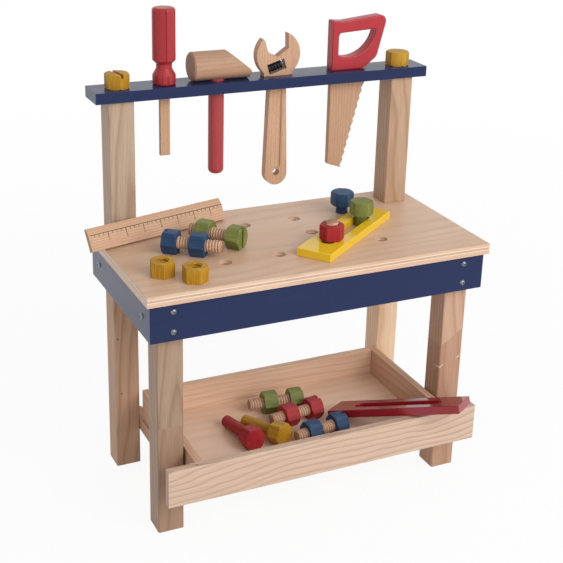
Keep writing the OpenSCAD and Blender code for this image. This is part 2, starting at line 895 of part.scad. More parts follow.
// The blade: its tang in the grip, a square end and teeth up its front edge
module saw_blade_outline() {
    tip = [saw_blade_left + saw_tip_w, -saw_blade_l];
    heel = [saw_blade_left + saw_blade_w - saw_tooth_depth, -saw_heel_drop];
    run = (heel - tip) / saw_teeth;
    inward = [-run[1], run[0]] / norm(run);
    polygon(concat(
        [[saw_blade_left, saw_tang_h], [saw_blade_left, -saw_blade_l + saw_end_slope]],
        [for (i = [0:saw_teeth - 1], step = [0, 1])
            step == 0 ? tip + i * run : tip + (i + 0.3) * run + saw_tooth_depth * inward],
        [heel, [saw_blade_left + saw_blade_w, 0],
         [saw_blade_left + saw_tang_l, saw_tang_h - saw_blade_t / 3],
         [saw_blade_left + saw_tang_l - saw_blade_t, saw_tang_h]]));
}

module saw_handle()
    color(red)
        difference() {
            upright(saw_x, saw_handle_t) saw_grip_outline();
            upright(saw_x, saw_blade_t) saw_blade_outline();
        }

module saw_blade()
    color(beech)
        upright(saw_x, saw_blade_t) saw_blade_outline();

leg_front_left();
leg_front_right();
leg_rear_left();
leg_rear_right();
post_left();
post_right();
apron_front();
apron_rear();
apron_left();
apron_right();
worktop();
tool_rail();
tray_runner_left();
tray_runner_right();
frame_screws();
tray_front();
tray_rear();
tray_left();
tray_right();
tray_bottom();
screwdriver_handle();
screwdriver_blade();
hammer_head();
hammer_handle();
wrench_body();
wrench_worm();
wrench_pin();
saw_handle();
saw_blade();
rail_bolt_head();
rail_bolt_shaft();
rail_peg();
ruler();
yellow_nut_left();
yellow_nut_right();
yellow_strip();
red_bolt_head();
red_bolt_shaft();
red_nut();
green_peg();
blue_peg();
bench_blue_head();
bench_blue_shaft();
bench_blue_nut();
bench_green_head();
bench_green_shaft();
bench_green_nut();
tray_green_head();
tray_green_shaft();
tray_green_nut();
tray_red_head();
tray_red_shaft();
tray_red_nut();
tray_blue_head();
tray_blue_shaft();
tray_blue_nut();
tray_red_peg();
tray_yellow_peg();
tray_red_strip();
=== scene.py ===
"""Looks of the toy workbench: wood, paint and stain, threads, the ruler's print, light and camera."""

import json
import math
from collections import namedtuple

import bmesh
import bpy
from mathutils import Matrix, Vector

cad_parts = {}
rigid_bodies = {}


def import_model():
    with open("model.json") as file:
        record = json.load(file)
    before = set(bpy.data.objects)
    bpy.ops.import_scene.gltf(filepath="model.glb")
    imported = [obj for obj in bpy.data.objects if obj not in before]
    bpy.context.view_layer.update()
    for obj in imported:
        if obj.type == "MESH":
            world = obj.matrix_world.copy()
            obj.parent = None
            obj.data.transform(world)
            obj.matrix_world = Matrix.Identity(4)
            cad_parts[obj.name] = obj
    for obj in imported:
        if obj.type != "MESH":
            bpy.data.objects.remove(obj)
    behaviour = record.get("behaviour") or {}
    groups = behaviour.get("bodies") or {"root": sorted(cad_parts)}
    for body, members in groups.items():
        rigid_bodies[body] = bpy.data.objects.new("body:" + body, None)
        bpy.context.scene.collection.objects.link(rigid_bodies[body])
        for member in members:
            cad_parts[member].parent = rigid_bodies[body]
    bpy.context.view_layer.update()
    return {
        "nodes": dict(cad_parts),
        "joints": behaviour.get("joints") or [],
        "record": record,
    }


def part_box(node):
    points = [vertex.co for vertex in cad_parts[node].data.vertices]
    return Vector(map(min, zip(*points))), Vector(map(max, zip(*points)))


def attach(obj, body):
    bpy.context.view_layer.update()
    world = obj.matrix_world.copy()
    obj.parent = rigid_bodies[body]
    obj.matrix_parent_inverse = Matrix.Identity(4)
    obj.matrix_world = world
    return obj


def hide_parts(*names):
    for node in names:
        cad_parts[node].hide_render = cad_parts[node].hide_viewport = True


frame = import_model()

NODES = frame["nodes"]
MM = 0.001
X, Y, Z = Vector((1, 0, 0)), Vector((0, 1, 0)), Vector((0, 0, 1))
IN_PLANE = 0.02 * MM  # points this near to a plane lie in it

THREAD_PITCH, THREAD_DEPTH = 4.0 * MM, 1.25 * MM
WORM_PITCH, WORM_DEPTH = 4.4 * MM, 1.7 * MM
SHAFT_CHAMFER, WORM_CHAMFER = 1.5 * MM, 0.8 * MM

# how wide each kind of edge is rounded
WOOD_EDGE, PAINT_EDGE, STRIP_EDGE = 0.8 * MM, 1.2 * MM, 1.0 * MM
HEX_EDGE, VENEER_EDGE, METAL_EDGE = 0.5 * MM, 0.3 * MM, 0.15 * MM

# a line across a bar with darker tone and jumped grain below it: where the line starts, its height
# and slope, how far the grain jumps below it, how much darker the part below is, and the pale slivers
# along it
ToneStep = namedtuple("ToneStep", "corner height slope jump shade chips")


# ---------------------------------------------------------------- colours and measures


def colour(code):
    """A linear RGBA colour from an sRGB code such as "c8a488"."""
    parts = [int(code[i:i + 2], 16) / 255 for i in (0, 2, 4)]
    return [p / 12.92 if p <= 0.04045 else ((p + 0.055) / 1.055) ** 2.4 for p in parts] + [1.0]


def middle(node):
    """The middle of a node's box at rest."""
    low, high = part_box(node)
    return (low + high) / 2


def points_of(node):
    """A node's points at rest, in metres."""
    return [v.co.copy() for v in NODES[node].data.vertices]


def span(points, direction):
    """Lowest and highest reach of the points along a direction."""
    reach = [p.dot(direction) for p in points]
    return min(reach), max(reach)


def long_axis(node):
    """The direction in which a long node's points spread most, starting from the farthest one."""
    points = points_of(node)
    centre = sum(points, Vector()) / len(points)
    axis = max((p - centre for p in points), key=lambda d: d.length).normalized()
    for _ in range(20):
        axis = sum(((p - centre) * (p - centre).dot(axis) for p in points), Vector()).normalized()
    return axis


def end_ring(points, axis, at):
    """Middle and radius of the ring of points that lies furthest out at one end."""
    ring = [p for p in points if abs(p.dot(axis) - at) < IN_PLANE]
    rim_middle = Vector()
    for p in ring:
        rim_middle += p / len(ring)
    return rim_middle, max((p - rim_middle).length for p in ring)


def turned_piece(node):
    """Start, direction, length and radius of a plain shaft, from its head to its narrower tip."""
    points = points_of(node)
    axis = long_axis(node)
    low, high = span(points, axis)
    low_end, low_r = end_ring(points, axis, low)
    high_end, high_r = end_ring(points, axis, high)
    if low_r > high_r:
        return low_end, axis, high - low, low_r
    return high_end, -axis, high - low, high_r


# ---------------------------------------------------------------- shader building


class Nodes:
    """A node tree, with short calls for the nodes that materials and the world share."""

    def __init__(self, tree):
        self.tree = tree
        tree.nodes.clear()

    def add(self, kind, inputs=None, **settings):
        """A new node with its settings, and each input linked or set."""
        node = self.tree.nodes.new(kind)
        for key, value in settings.items():
            setattr(node, key, value)
        for key, value in (inputs or {}).items():
            self.feed(node.inputs[key], value)
        return node

    def feed(self, socket, value):
        """Links an output to a socket, or sets the socket's own value."""
        if isinstance(value, bpy.types.NodeSocket):
            self.tree.links.new(value, socket)
        else:
            socket.default_value = value

    def math(self, operation, a, b=0.0, c=0.0):
        """The number that a sum of up to three numbers comes to."""
        return self.add("ShaderNodeMath", {0: a, 1: b, 2: c}, operation=operation).outputs[0]

    def vector(self, operation, a, b=(0.0, 0.0, 0.0)):
        """A vector, or the number that a length, distance or dot product comes to."""
        node = self.add("ShaderNodeVectorMath", {0: a, 1: b}, operation=operation)
        number = operation in ("LENGTH", "DISTANCE", "DOT_PRODUCT")
        return node.outputs["Value" if number else "Vector"]

    def span(self, value, low, high, to_low=0.0, to_high=1.0):
        """Carries low...high to to_low...to_high, held at both ends."""
        return self.add(
            "ShaderNodeMapRange",
            {"Value": value, "From Min": low, "From Max": high, "To Min": to_low, "To Max": to_high},
        ).outputs["Result"]

    def seen(self):
        """1 for what the camera sees, straight or through gloss or glass, and 0 for other light."""
        rays = self.add("ShaderNodeLightPath").outputs
        bent = self.math("MAXIMUM", rays["Is Glossy Ray"], rays["Is Transmission Ray"])
        return self.math("MAXIMUM", rays["Is Camera Ray"], bent)

    def either(self, share, first, second):
        """One shader's output, going over to the other's by a share."""
        return self.add("ShaderNodeMixShader", {0: share, 1: first, 2: second}).outputs[0]


class Shader(Nodes):
    """A material with one surface, and the patterns that the finishes are made of."""

    def __init__(self, name):
        self.material = bpy.data.materials.new(name)
        self.material.use_nodes = True
        super().__init__(self.material.node_tree)
        self.surface = self.add("ShaderNodeBsdfPrincipled")
        self.output = self.add("ShaderNodeOutputMaterial", {"Surface": self.surface.outputs["BSDF"]})

    def place(self):
        """Coordinates in metres in the object's own frame."""
        return self.add("ShaderNodeTexCoord").outputs["Object"]

    def along(self, axis, centre):
        """Coordinates with X along the grain and the pith on the X axis."""
        turn = axis.to_track_quat("X", "Z").to_matrix().inverted()
        shift = -(turn @ centre)
        mapping = self.add(
            "ShaderNodeMapping",
            {"Vector": self.place(), "Rotation": turn.to_euler(), "Location": shift},
        )
        return mapping.outputs["Vector"]

    def end_share(self, axis):
        """How squarely the surface cuts across the grain: 1 on end grain, 0 on the long faces."""
        normal = self.add("ShaderNodeTexCoord").outputs["Normal"]
        across = self.vector("DOT_PRODUCT", normal, axis)
        return self.span(self.math("ABSOLUTE", across), 0.6, 0.9)

    def stretch(self, vector, scale):
        """Coordinates scaled along each axis: the larger a factor, the finer the pattern."""
        return self.vector("MULTIPLY", vector, scale)

    def noise(self, vector, scale=1.0, detail=2.0, roughness=0.5):
        """A cloudy pattern from 0 to 1."""
        return self.add(
            "ShaderNodeTexNoise",
            {"Vector": vector, "Scale": scale, "Detail": detail, "Roughness": roughness},
        ).outputs["Fac"]

    def mix(self, share, a, b):
        """A colour between two others."""
        return self.add("ShaderNodeMix", {0: share, 6: a, 7: b}, data_type="RGBA").outputs[2]

    def over(self, tone, other, pattern, low, high, share=1.0):
        """Lets another tone through where a pattern runs high, up to a share."""
        return self.mix(self.span(pattern, low, high, 0.0, share), tone, other)

    def worn_and_lit_edge(self, reach):
        """1 on sharp edges, where handling takes the colour off and a painted highlight stands in for
        the light the edges catch, and 0 on the faces.
        """
        near = self.add("ShaderNodeBevel", {"Radius": reach}, samples=4).outputs["Normal"]
        flat = self.add("ShaderNodeNewGeometry").outputs["True Normal"]
        return self.span(self.vector("DOT_PRODUCT", near, flat), 0.9, 0.995, 1.0, 0.0)

    def ramp(self, value, stops):
        """Grey level over a value: stops are (place, level) pairs."""
        node = self.add("ShaderNodeValToRGB", {"Fac": value})
        band = node.color_ramp
        while len(band.elements) < len(stops):
            band.elements.new(0.5)
        for element, (place, level) in zip(band.elements, stops):
            element.position = place
            element.color = (level, level, level, 1.0)
        return node.outputs["Color"]

    def rings(self, grain, width, wander, reach):
        """Place within a year ring round the pith, from 0 at its start to 1 at its late line."""
        apart = self.add("ShaderNodeSeparateXYZ", {0: grain})
        flat = self.add("ShaderNodeCombineXYZ", {1: apart.outputs[1], 2: apart.outputs[2]}).outputs[0]
        radius = self.vector("LENGTH", flat)
        slow = self.noise(self.stretch(grain, reach), detail=1.0)
        bent = self.math("MULTIPLY_ADD", slow, wander, radius)
        quick = self.noise(self.stretch(grain, [2.5 * r for r in reach]), detail=1.0)
        bent = self.math("MULTIPLY_ADD", quick, 0.9 * width, bent)
        return self.math("FRACT", self.math("DIVIDE", bent, width))

    def cut(self, tone_step):
        """Height over a tone step's line, the place from its corner, and 1 below the line."""
        off = self.vector("SUBTRACT", self.place(), tone_step.corner)
        apart = self.add("ShaderNodeSeparateXYZ", {0: off})
        line = self.math("MULTIPLY_ADD", apart.outputs[0], -tone_step.slope, apart.outputs[2])
        rise = self.math("SUBTRACT", line, tone_step.height)
        return rise, apart.outputs, self.math("LESS_THAN", rise, 0.0)

    def chip(self, rise, apart, drop, start, width, depth, thick):
        """0.8 on a thin pale sliver under the line that tapers away from its start along both faces."""
        gap = self.math("ABSOLUTE", self.math("ADD", rise, drop))
        along = self.math("DIVIDE", self.math("SUBTRACT", apart[0], start), width)
        gone = self.math("ADD", self.math("ABSOLUTE", along), self.math("DIVIDE", apart[1], depth))
        left = self.math("MULTIPLY_ADD", gone, -thick, thick)
        return self.math("MULTIPLY", self.math("LESS_THAN", gap, left), 0.8)

    def base(self, tone):
        """Sets what the surface's base colour comes from."""
        self.feed(self.surface.inputs["Base Color"], tone)

    def finish(self, roughness, level=0.5):
        """Sets the surface's roughness and how strongly it reflects."""
        self.surface.inputs["Specular IOR Level"].default_value = level
        self.feed(self.surface.inputs["Roughness"], roughness)

    def bump(self, height, strength, distance=0.2 * MM):
        """Fine relief in the surface's shading."""
        node = self.add("ShaderNodeBump", {"Height": height, "Strength": strength, "Distance": distance})
        self.feed(self.surface.inputs["Normal"], node.outputs["Normal"])


# ---------------------------------------------------------------- finishes


def pine(name, axis, pith, tones=("d2b399", "a9825f", "c99b7c"), ring=7.5, wander=16.0,
         contrast=0.6, tone_step=None, knots=(), reach=(3.0, 14.0, 14.0)):
    """Lacquered pine: broad wandering rings, fine fibres, darker end grain and small knots."""
    shader = Shader(name)
    pale, dark, warm = (colour(code) for code in tones)
    grain = shader.along(axis, pith)
    if tone_step:
        rise, apart, below = shader.cut(tone_step)
        moved = shader.add("ShaderNodeVectorMath", {0: tone_step.jump, 3: below}, operation="SCALE")
        grain = shader.vector("ADD", grain, moved.outputs[0])
    ring_place = shader.rings(grain, ring * MM, wander * MM, reach)
    late = shader.ramp(ring_place, [(0.0, 0.25), (0.2, 0.0), (0.66, 0.2), (0.92, 1.0), (1.0, 0.25)])
    fibre = shader.noise(shader.stretch(grain, (14.0, 700.0, 700.0)), detail=4.0, roughness=0.6)
    patch = shader.noise(shader.stretch(grain, (3.0, 22.0, 22.0)), detail=2.0)
    tone = shader.mix(shader.math("MULTIPLY", late, contrast), pale, dark)
    tone = shader.over(tone, warm, patch, 0.35, 0.7, 0.45)
    tone = shader.over(tone, dark, fibre, 0.42, 0.7, 0.4)
    for knot, size in knots:
        away = shader.vector("DISTANCE", shader.place(), knot)
        rough = shader.math("MULTIPLY_ADD", fibre, 0.8 * size, away)
        tone = shader.mix(shader.span(rough, 0.9 * size, 1.7 * size, 0.85, 0.0), tone, colour("5f3d28"))
    # below the line: a darker tone, then pale slivers along it
    if tone_step:
        tone = shader.mix(shader.math("MULTIPLY", below, tone_step.shade), tone, colour("8a5c44"))
        for chip in tone_step.chips:
            tone = shader.mix(shader.chip(rise, apart, *chip), tone, colour("e3c9b2"))
    ends = shader.math("MULTIPLY", shader.end_share(axis), 0.4)
    shader.base(shader.mix(ends, tone, colour("7e5f48")))
    shader.finish(shader.span(fibre, 0.3, 0.7, 0.42, 0.58), level=0.3)
    shader.bump(shader.math("MULTIPLY_ADD", late, 0.4, fibre), 0.3)
    return shader.material


def ply(name, axis, across, board, pith, tones, glue_lines):
    """Ply: a broad soft figure on its faces, and pale glue lines between the veneers of its edge."""
    shader = Shader(name)
    pale, dark, warm = (colour(code) for code in tones)
    low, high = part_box(board)
    depth = shader.add("ShaderNodeSeparateXYZ", {0: shader.place()}).outputs[2]
    level = shader.span(depth, low.z, high.z)
    sides = shader.math("SUBTRACT", 1.0, shader.end_share(Z))
    grain = shader.along(axis, pith)
    ring_place = shader.rings(grain, 17.0 * MM, 70.0 * MM, (2.0, 7.0, 7.0))
    late = shader.ramp(ring_place, [(0.0, 0.35), (0.3, 0.0), (0.65, 0.45), (0.88, 1.0), (1.0, 0.35)])
    fibre = shader.noise(shader.stretch(grain, (16.0, 800.0, 800.0)), detail=4.0, roughness=0.6)
    cross = shader.noise(shader.stretch(shader.along(across, pith), (16.0, 800.0, 800.0)), detail=4.0)
    cloud = shader.noise(shader.stretch(grain, (4.0, 16.0, 16.0)), detail=2.0)
    tone = shader.mix(shader.math("MULTIPLY", late, 0.45), pale, dark)
    tone = shader.over(tone, warm, cloud, 0.35, 0.7, 0.6)
    tone = shader.over(tone, dark, fibre, 0.42, 0.7, 0.35)
    line = 0.0
    core = 0.0
    for place, half in glue_lines:
        gap = shader.math("ABSOLUTE", shader.math("SUBTRACT", level, place))
        line = shader.math("MAXIMUM", line, shader.span(gap, 0.5 * half, half, 1.0, 0.0))
        core = shader.math("SUBTRACT", 1.0, shader.math("ABSOLUTE", shader.math(
            "SUBTRACT", core, shader.math("GREATER_THAN", level, place))))
    crossed = shader.over(colour("c4a186"), colour("a5815f"), cross, 0.35, 0.7)
    edge = shader.mix(shader.math("MULTIPLY", core, 0.7), tone, crossed)
    edge = shader.mix(shader.math("MULTIPLY", line, 0.85), edge, colour("ecdccb"))
    shader.base(shader.mix(sides, tone, edge))
    shader.finish(shader.span(fibre, 0.3, 0.7, 0.36, 0.48), level=0.5)
    shader.bump(fibre, 0.2)
    return shader.material


def beech(name, axis, pith, pale="cfa888", dark="a67c5c", contrast=0.5):
    """Sanded beech: even pinkish wood with short dark ray flecks and darker end grain."""
    shader = Shader(name)
    grain = shader.along(axis, pith)
    ring_place = shader.rings(grain, 3.6 * MM, 8.0 * MM, (4.0, 20.0, 20.0))
    late = shader.ramp(ring_place, [(0.0, 0.2), (0.5, 0.0), (0.93, 1.0), (1.0, 0.2)])
    fibre = shader.noise(shader.stretch(grain, (30.0, 1100.0, 1100.0)), detail=4.0, roughness=0.6)
    fleck = shader.noise(shader.stretch(grain, (260.0, 2200.0, 1400.0)), detail=1.0)
    patch = shader.noise(shader.stretch(grain, (6.0, 40.0, 40.0)), detail=2.0)
    tone = shader.mix(shader.math("MULTIPLY", late, contrast), colour(pale), colour(dark))
    tone = shader.over(tone, colour("bd8e6f"), patch, 0.3, 0.75, 0.45)
    tone = shader.over(tone, colour("8a6244"), fleck, 0.62, 0.75, 0.5)
    tone = shader.over(tone, colour(dark), fibre, 0.45, 0.7, 0.3)
    ends = shader.math("MULTIPLY", shader.end_share(axis), 0.35)
    shader.base(shader.mix(ends, tone, colour("7a583f")))
    shader.finish(shader.span(fibre, 0.3, 0.7, 0.5, 0.62), level=0.3)
    shader.bump(fibre, 0.2)
    return shader.material


def turned_beech(name, radius, depth):
    """Beech of a threaded shaft: pale on the thread's crest and, as painted shade, dark down in its
    groove.
    """
    shader = Shader(name)
    place = shader.place()
    fibre = shader.noise(shader.stretch(place, (900.0, 900.0, 60.0)), detail=3.0)
    blot = shader.noise(place, scale=220.0, detail=2.0)
    flat = shader.stretch(place, (1.0, 1.0, 0.0))
    out = shader.vector("LENGTH", flat)
    # painted shade in the thread's groove
    groove_shade = shader.span(out, radius - depth, radius - 0.15 * depth, 1.0, 0.0)
    tone = shader.over(colour("dcb79b"), colour("c09478"), fibre, 0.35, 0.7)
    tone = shader.over(tone, colour("ab7a5c"), blot, 0.5, 0.75, 0.5)
    shader.base(shader.mix(shader.math("MULTIPLY", groove_shade, 0.75), tone, colour("8c6046")))
    shader.finish(shader.span(fibre, 0.3, 0.7, 0.5, 0.65), level=0.3)
    shader.bump(fibre, 0.2)
    return shader.material


def paint(name, axis, centre, body, deep, roughness=0.3, level=0.3, telegraph=0.12, mottle=0.35):
    """Opaque paint on wood: slight changes of tone, and the grain felt through the film."""
    shader = Shader(name)
    grain = shader.along(axis, centre)
    fibre = shader.noise(shader.stretch(grain, (12.0, 420.0, 420.0)), detail=3.0)
    cloud = shader.noise(shader.stretch(grain, (9.0, 30.0, 30.0)), detail=2.0)
    orange_peel = shader.noise(grain, scale=900.0, detail=1.0)
    share = shader.math("MULTIPLY_ADD", shader.span(fibre, 0.35, 0.7), 0.35,
                        shader.math("MULTIPLY", shader.span(cloud, 0.3, 0.7), 0.65))
    shader.base(shader.mix(
        shader.math("MULTIPLY", share, mottle), colour(body), colour(deep)))
    shader.finish(shader.span(cloud, 0.3, 0.7, roughness - 0.04, roughness + 0.05), level=level)
    shader.bump(shader.math("MULTIPLY_ADD", orange_peel, 0.3, fibre), telegraph)
    return shader.material


def stain(name, axis, centre, body, deep, light, roughness=0.42):
    """Stain that soaks in: pores take more colour and stay dark, hard lines stay light."""
    shader = Shader(name)
    grain = shader.along(axis, centre)
    fibre = shader.noise(shader.stretch(grain, (22.0, 620.0, 620.0)), detail=4.0, roughness=0.65)
    ring_place = shader.rings(grain, 3.6 * MM, 5.0 * MM, (5.0, 30.0, 30.0))
    line = shader.ramp(ring_place, [(0.0, 0.0), (0.7, 0.1), (0.92, 1.0), (1.0, 0.0)])
    cloud = shader.noise(shader.stretch(grain, (18.0, 60.0, 60.0)), detail=2.0)
    tone = shader.over(colour(body), colour(deep), fibre, 0.38, 0.66)
    tone = shader.mix(shader.math("MULTIPLY", line, 0.35), tone, colour(deep))
    tone = shader.over(tone, colour(light), cloud, 0.4, 0.8, 0.5)
    streak = shader.noise(shader.stretch(grain, (40.0, 1500.0, 1500.0)), detail=1.0)
    tone = shader.over(tone, colour(light), streak, 0.6, 0.78, 0.6)
    # pale edges: partly wear, partly painted highlight
    edge = shader.math("MULTIPLY", shader.worn_and_lit_edge(0.7 * MM), shader.span(cloud, 0.3, 0.6, 0.35, 0.8))
    shader.base(shader.mix(edge, tone, colour(light)))
    shader.finish(shader.span(fibre, 0.3, 0.7, roughness, roughness + 0.12), level=0.22)
    shader.bump(fibre, 0.3)
    return shader.material


def metal(name):
    """Zinc-plated steel with turned marks."""
    shader = Shader(name)
    marks = shader.noise(shader.place(), scale=2600.0, detail=2.0)
    cloud = shader.noise(shader.place(), scale=260.0, detail=2.0)
    shader.base(shader.over(colour("8b9097"), colour("6c7077"), cloud, 0.35, 0.7))
    shader.surface.inputs["Metallic"].default_value = 1.0
    shader.finish(shader.span(marks, 0.3, 0.7, 0.28, 0.42))
    shader.bump(marks, 0.08, 0.05 * MM)
    return shader.material


def ink(name):
    """Brown-black print that sinks a little into the wood."""
    shader = Shader(name)
    blot = shader.noise(shader.place(), scale=1800.0, detail=2.0)
    shader.base(shader.over(colour("3a281e"), colour("5f4534"), blot, 0.4, 0.75))
    shader.finish(0.6)
    return shader.material


# ---------------------------------------------------------------- edges of the CAD nodes


def weld_group():
    """Geometry nodes that join a node's split points and drop its stored normals."""
    group = bpy.data.node_groups.new("join_faces", "GeometryNodeTree")
    group.interface.new_socket("Geometry", in_out="INPUT", socket_type="NodeSocketGeometry")
    group.interface.new_socket("Geometry", in_out="OUTPUT", socket_type="NodeSocketGeometry")
    enter = group.nodes.new("NodeGroupInput")
    leave = group.nodes.new("NodeGroupOutput")
    plain = group.nodes.new("GeometryNodeSetMeshNormal")
    plain.mode = "SHARPNESS"
    plain.inputs["Remove Custom"].default_value = True
    merge = group.nodes.new("GeometryNodeMergeByDistance")
    merge.inputs["Distance"].default_value = 0.005 * MM
    smooth = group.nodes.new("GeometryNodeSetShadeSmooth")
    group.links.new(enter.outputs[0], plain.inputs["Mesh"])
    group.links.new(plain.outputs[0], merge.inputs["Geometry"])
    group.links.new(merge.outputs[0], smooth.inputs["Geometry"])
    group.links.new(smooth.outputs[0], leave.inputs[0])
    return group


def soften(obj, width, weld):
    """Joins a node's flat faces, rounds its sharp edges and keeps the faces between them flat."""
    join = obj.modifiers.new("join", "NODES")
    join.node_group = weld
    flat = obj.modifiers.new("flat", "DECIMATE")
    flat.decimate_type = "DISSOLVE"
    flat.angle_limit = math.radians(0.5)
    bevel = obj.modifiers.new("edges", "BEVEL")
    bevel.width = width
    bevel.segments = 3
    bevel.limit_method = "ANGLE"
    bevel.angle_limit = math.radians(32)
    even = obj.modifiers.new("even", "WEIGHTED_NORMAL")
    even.mode = "FACE_AREA"
    even.weight = 90


def finish_with(node, material):
    """Gives a node its only material."""
    obj = NODES[node]
    obj.data.materials.clear()
    obj.data.materials.append(material)
    return obj


def dress(node, material, width, weld):
    """A CAD node in its own shape, with a material and softened edges."""
    soften(finish_with(node, material), width, weld)


# ---------------------------------------------------------------- modelled pieces


def new_piece(name, bm, material):
    """A smooth-shaded object made of a bmesh, which is freed."""
    mesh = bpy.data.meshes.new(name)
    bm.to_mesh(mesh)
    bm.free()
    for polygon in mesh.polygons:
        polygon.use_smooth = True
    mesh.materials.append(material)
    obj = bpy.data.objects.new(name, mesh)
    bpy.context.scene.collection.objects.link(obj)
    return obj


def body_of(node):
    """The body that a node belongs to."""
    return next(b for b, names in frame["record"]["behaviour"]["bodies"].items() if node in names)


def slot_of(node):
    """The record's material slot of a node."""
    return next(p["material_slot"] for p in frame["record"]["subparts"] if p["node"] == node)


def ring_faces(bm, low, high):
    """Joins two closed rows of points by a band of faces."""
    count = len(low)
    for i in range(count):
        j = (i + 1) % count
        bm.faces.new((low[i], low[j], high[j], high[i]))


def threaded_rod(length, radius, pitch, depth, chamfers, bore=None):
    """A rod along +Z with a rounded thread that runs out at both ends, hollow if it has a bore."""
    around, rows_a_turn = 48, 14
    run_out, roundness = 0.6 * pitch, 0.6
    rows = round(length / pitch * rows_a_turn)
    bm = bmesh.new()
    rims = []
    for row in range(rows + 1):
        z = length * row / rows
        fade = min(1.0, z / run_out, (length - z) / run_out)
        limit = radius - max(0.0, chamfers[0] - z, chamfers[1] - (length - z))
        rim = []
        for step in range(around):
            turn = step / around
            wave = 0.5 + 0.5 * math.cos(math.tau * (z / pitch - turn))
            r = min(radius - depth * fade * (1 - wave ** roundness), limit)
            rim.append(bm.verts.new((r * math.cos(math.tau * turn), r * math.sin(math.tau * turn), z)))
        rims.append(rim)
    for low, high in zip(rims, rims[1:]):
        ring_faces(bm, low, high)
    if bore is None:
        bm.faces.new(reversed(rims[0]))
        bm.faces.new(rims[-1])
        return bm
    inner = []
    for z in (0.0, length):
        turns = [math.tau * step / around for step in range(around)]
        inner.append([bm.verts.new((bore * math.cos(t), bore * math.sin(t), z)) for t in turns])
    ring_faces(bm, inner[0], rims[0])
    ring_faces(bm, rims[-1], inner[1])
    ring_faces(bm, inner[1], inner[0])
    return bm


def place_along(piece, start, axis):
    """Turns a piece's Z to a direction and moves its origin to a start."""
    piece.matrix_world = Matrix.Translation(start) @ axis.to_track_quat("Z", "Y").to_matrix().to_4x4()


def stand_in(piece, node):
    """Lets a piece move, finish and show in place of a node."""
    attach(piece, body_of(node))
    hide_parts(node)


def thread_shaft(node):
    """A threaded wooden shaft in place of a node's plain one."""
    start, axis, length, radius = turned_piece(node)
    bm = threaded_rod(length, radius, THREAD_PITCH, THREAD_DEPTH, (0.0, SHAFT_CHAMFER))
    rod = new_piece(node + "_thread", bm, turned_beech("beech_" + node, radius, THREAD_DEPTH))
    place_along(rod, start, axis)
    stand_in(rod, node)


def worm_screw():
    """The wrench's worm with its helical ridge, on its pin."""
    node = "wrench_worm"
    axis = long_axis(node)
    points = points_of(node)
    low, high = span(points, axis)
    centre = middle(node)
    radii = [((p - centre) - axis * (p - centre).dot(axis)).length for p in points]
    bm = threaded_rod(high - low, max(radii), WORM_PITCH, WORM_DEPTH,
                      (WORM_CHAMFER, WORM_CHAMFER), min(radii))
    worm = paint("black_worm", Z, Vector(), "17171a", "2a2a2e", roughness=0.36)
    screw = new_piece("wrench_worm_screw", bm, worm)
    place_along(screw, centre - axis * (high - low) / 2, axis)
    stand_in(screw, node)


def nut_thread(node, material):
    """The ridge of the thread inside a free nut's hole."""
    low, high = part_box(node)
    centre = middle(node)
    bore = min(Vector((p.x - centre.x, p.y - centre.y)).length for p in points_of(node))
    from_face, steps_a_turn, run_out = 2.0 * MM, 40, 12
    start, end = low.z + from_face, high.z - from_face
    steps = round((end - start) / THREAD_PITCH * steps_a_turn)
    foot = bore + 0.1 * MM
    half = 0.42 * THREAD_PITCH
    bm = bmesh.new()
    rims = []
    for step in range(steps + 1):
        turn = math.tau * step / steps_a_turn
        z = start + (end - start) * step / steps
        fade = min(1.0, step / run_out, (steps - step) / run_out)
        tip = max(0.05, fade) * THREAD_DEPTH
        out = Vector((math.cos(turn), math.sin(turn), 0))
        middle_line = Vector((centre.x, centre.y, z))
        corners = [(foot, half), (foot, -half), (bore - tip, -0.15 * half), (bore - tip, 0.15 * half)]
        rims.append([bm.verts.new(middle_line + out * r + Z * rise) for r, rise in corners])
    for low_rim, high_rim in zip(rims, rims[1:]):
        ring_faces(bm, low_rim, high_rim)
    bm.faces.new(reversed(rims[0]))
    bm.faces.new(rims[-1])
    bmesh.ops.recalc_face_normals(bm, faces=bm.faces)
    ridge = new_piece(node + "_thread", bm, material)
    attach(ridge, body_of(node))


# ---------------------------------------------------------------- the pieces and their finishes


